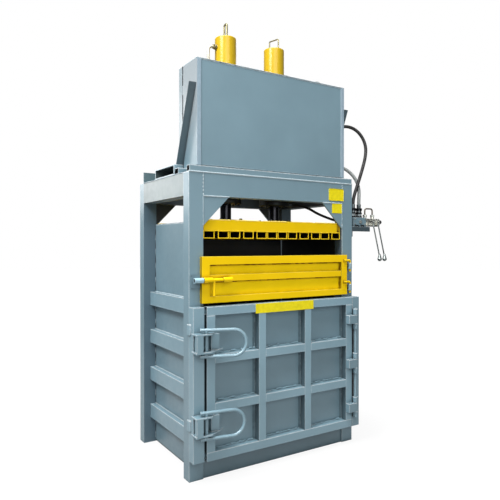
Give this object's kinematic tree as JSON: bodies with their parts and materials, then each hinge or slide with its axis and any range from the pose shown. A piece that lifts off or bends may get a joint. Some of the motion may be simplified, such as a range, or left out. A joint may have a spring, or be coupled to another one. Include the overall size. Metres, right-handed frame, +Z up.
{
  "type": "recycling baler",
  "caption": "Upright hydraulic baler: painted steel frame, yellow press platen on cylinders, hinged feed door, latched bale door, oil tank on top and hand valve at the side.",
  "frame": {"origin": "middle of the machine at floor level, on the underside of the middle base beam", "axes": "+Z up, +X to the machine's right seen from the front, +Y to the back"},
  "size_m": [1.748, 1.0638, 3.099],
  "materials": {
    "frame_paint": "satin",
    "yellow_paint": "gloss",
    "handle_paint": "satin",
    "rod_steel": "polished",
    "bright_steel": "satin",
    "dark_steel": "satin",
    "eye_brass": "satin",
    "motor_paint": "satin",
    "cap_plastic": "matt",
    "hose_black": "matt",
    "hose_grey": "matt"
  },
  "bodies": {
    "frame": {"front_columns": "frame_paint", "rear_columns": "frame_paint", "cross_top_beams": "frame_paint", "side_top_beams": "frame_paint", "corner_gussets": "frame_paint", "base_beams": "frame_paint", "chamber_floor": "frame_paint", "side_walls": "frame_paint", "rear_wall": "frame_paint", "side_ribs": "frame_paint", "rear_ribs": "frame_paint", "latch_post": "frame_paint", "hinge_post": "frame_paint", "post_hinge_knuckles": "frame_paint", "door_hinge_pin": "frame_paint", "latch_keepers": "frame_paint", "upper_door_sockets": "frame_paint", "bolt_keeper": "frame_paint", "top_rails": "frame_paint", "cylinder_crosshead": "frame_paint", "cylinder_barrels": "yellow_paint", "cylinder_glands": "dark_steel", "flange_bolts": "bright_steel", "lifting_eyes": "eye_brass", "oil_tank": "frame_paint", "tank_lid": "frame_paint", "filler_cap": "cap_plastic", "tank_rear_posts": "frame_paint", "tank_braces": "frame_paint", "motor_plate": "frame_paint", "pump_motor": "motor_paint", "bell_housing": "dark_steel", "gear_pump": "bright_steel", "valve_shelf": "frame_paint", "valve_manifold": "motor_paint", "valve_body": "bright_steel", "hose_fittings": "bright_steel", "valve_pipe": "bright_steel", "tank_pipe": "bright_steel", "suction_pipe": "dark_steel", "feed_hose": "hose_black", "pressure_hose": "hose_grey", "rod_side_hose": "hose_black"},
    "platen": {"platen_tubes": "yellow_paint", "platen_beams": "yellow_paint", "platen_guide_shoes": "yellow_paint", "piston_rods": "rod_steel"},
    "upper_door": {"upper_door_frame": "yellow_paint", "upper_door_panel": "yellow_paint"},
    "slide_bolt": {"slide_bolt": "yellow_paint"},
    "lower_door": {"lower_door_plate": "frame_paint", "lower_door_uprights": "frame_paint", "lower_door_crossbars": "frame_paint", "lower_door_hinge_straps": "frame_paint", "latch_forks": "frame_paint"},
    "upper_latch": {"upper_latch_lever": "handle_paint"},
    "lower_latch": {"lower_latch_lever": "handle_paint"},
    "left_lever": {"left_valve_lever": "bright_steel"},
    "right_lever": {"right_valve_lever": "bright_steel"}
  },
  "joints": [
    {"name": "press_stroke", "type": "slide", "parent": "frame", "child": "platen", "axis": [0, 0, -1], "range_m": [0, 1]},
    {"name": "upper_door_hinge", "type": "hinge", "parent": "frame", "child": "upper_door", "pos_m": [0.634, -0.46, 1.3], "axis": [0, 0, 1], "range_deg": [0, 120]},
    {"name": "bolt_slide", "type": "slide", "parent": "upper_door", "child": "slide_bolt", "axis": [-1, 0, 0], "range_m": [0, 0.037]},
    {"name": "lower_door_hinge", "type": "hinge", "parent": "frame", "child": "lower_door", "pos_m": [0.645, -0.51, 0.608], "axis": [0, 0, 1], "range_deg": [0, 120]},
    {"name": "upper_latch_pivot", "type": "hinge", "parent": "lower_door", "child": "upper_latch", "pos_m": [-0.62, -0.539, 0.884], "axis": [0, 0, -1], "range_deg": [-20, 130]},
    {"name": "lower_latch_pivot", "type": "hinge", "parent": "lower_door", "child": "lower_latch", "pos_m": [-0.62, -0.539, 0.376], "axis": [0, 0, -1], "range_deg": [-10, 140]},
    {"name": "left_lever_pivot", "type": "hinge", "parent": "frame", "child": "left_lever", "pos_m": [0.904, -0.422, 1.664], "axis": [1, 0, 0], "range_deg": [-20, 20]},
    {"name": "right_lever_pivot", "type": "hinge", "parent": "frame", "child": "right_lever", "pos_m": [0.958, -0.422, 1.664], "axis": [1, 0, 0], "range_deg": [-20, 20]}
  ]
}
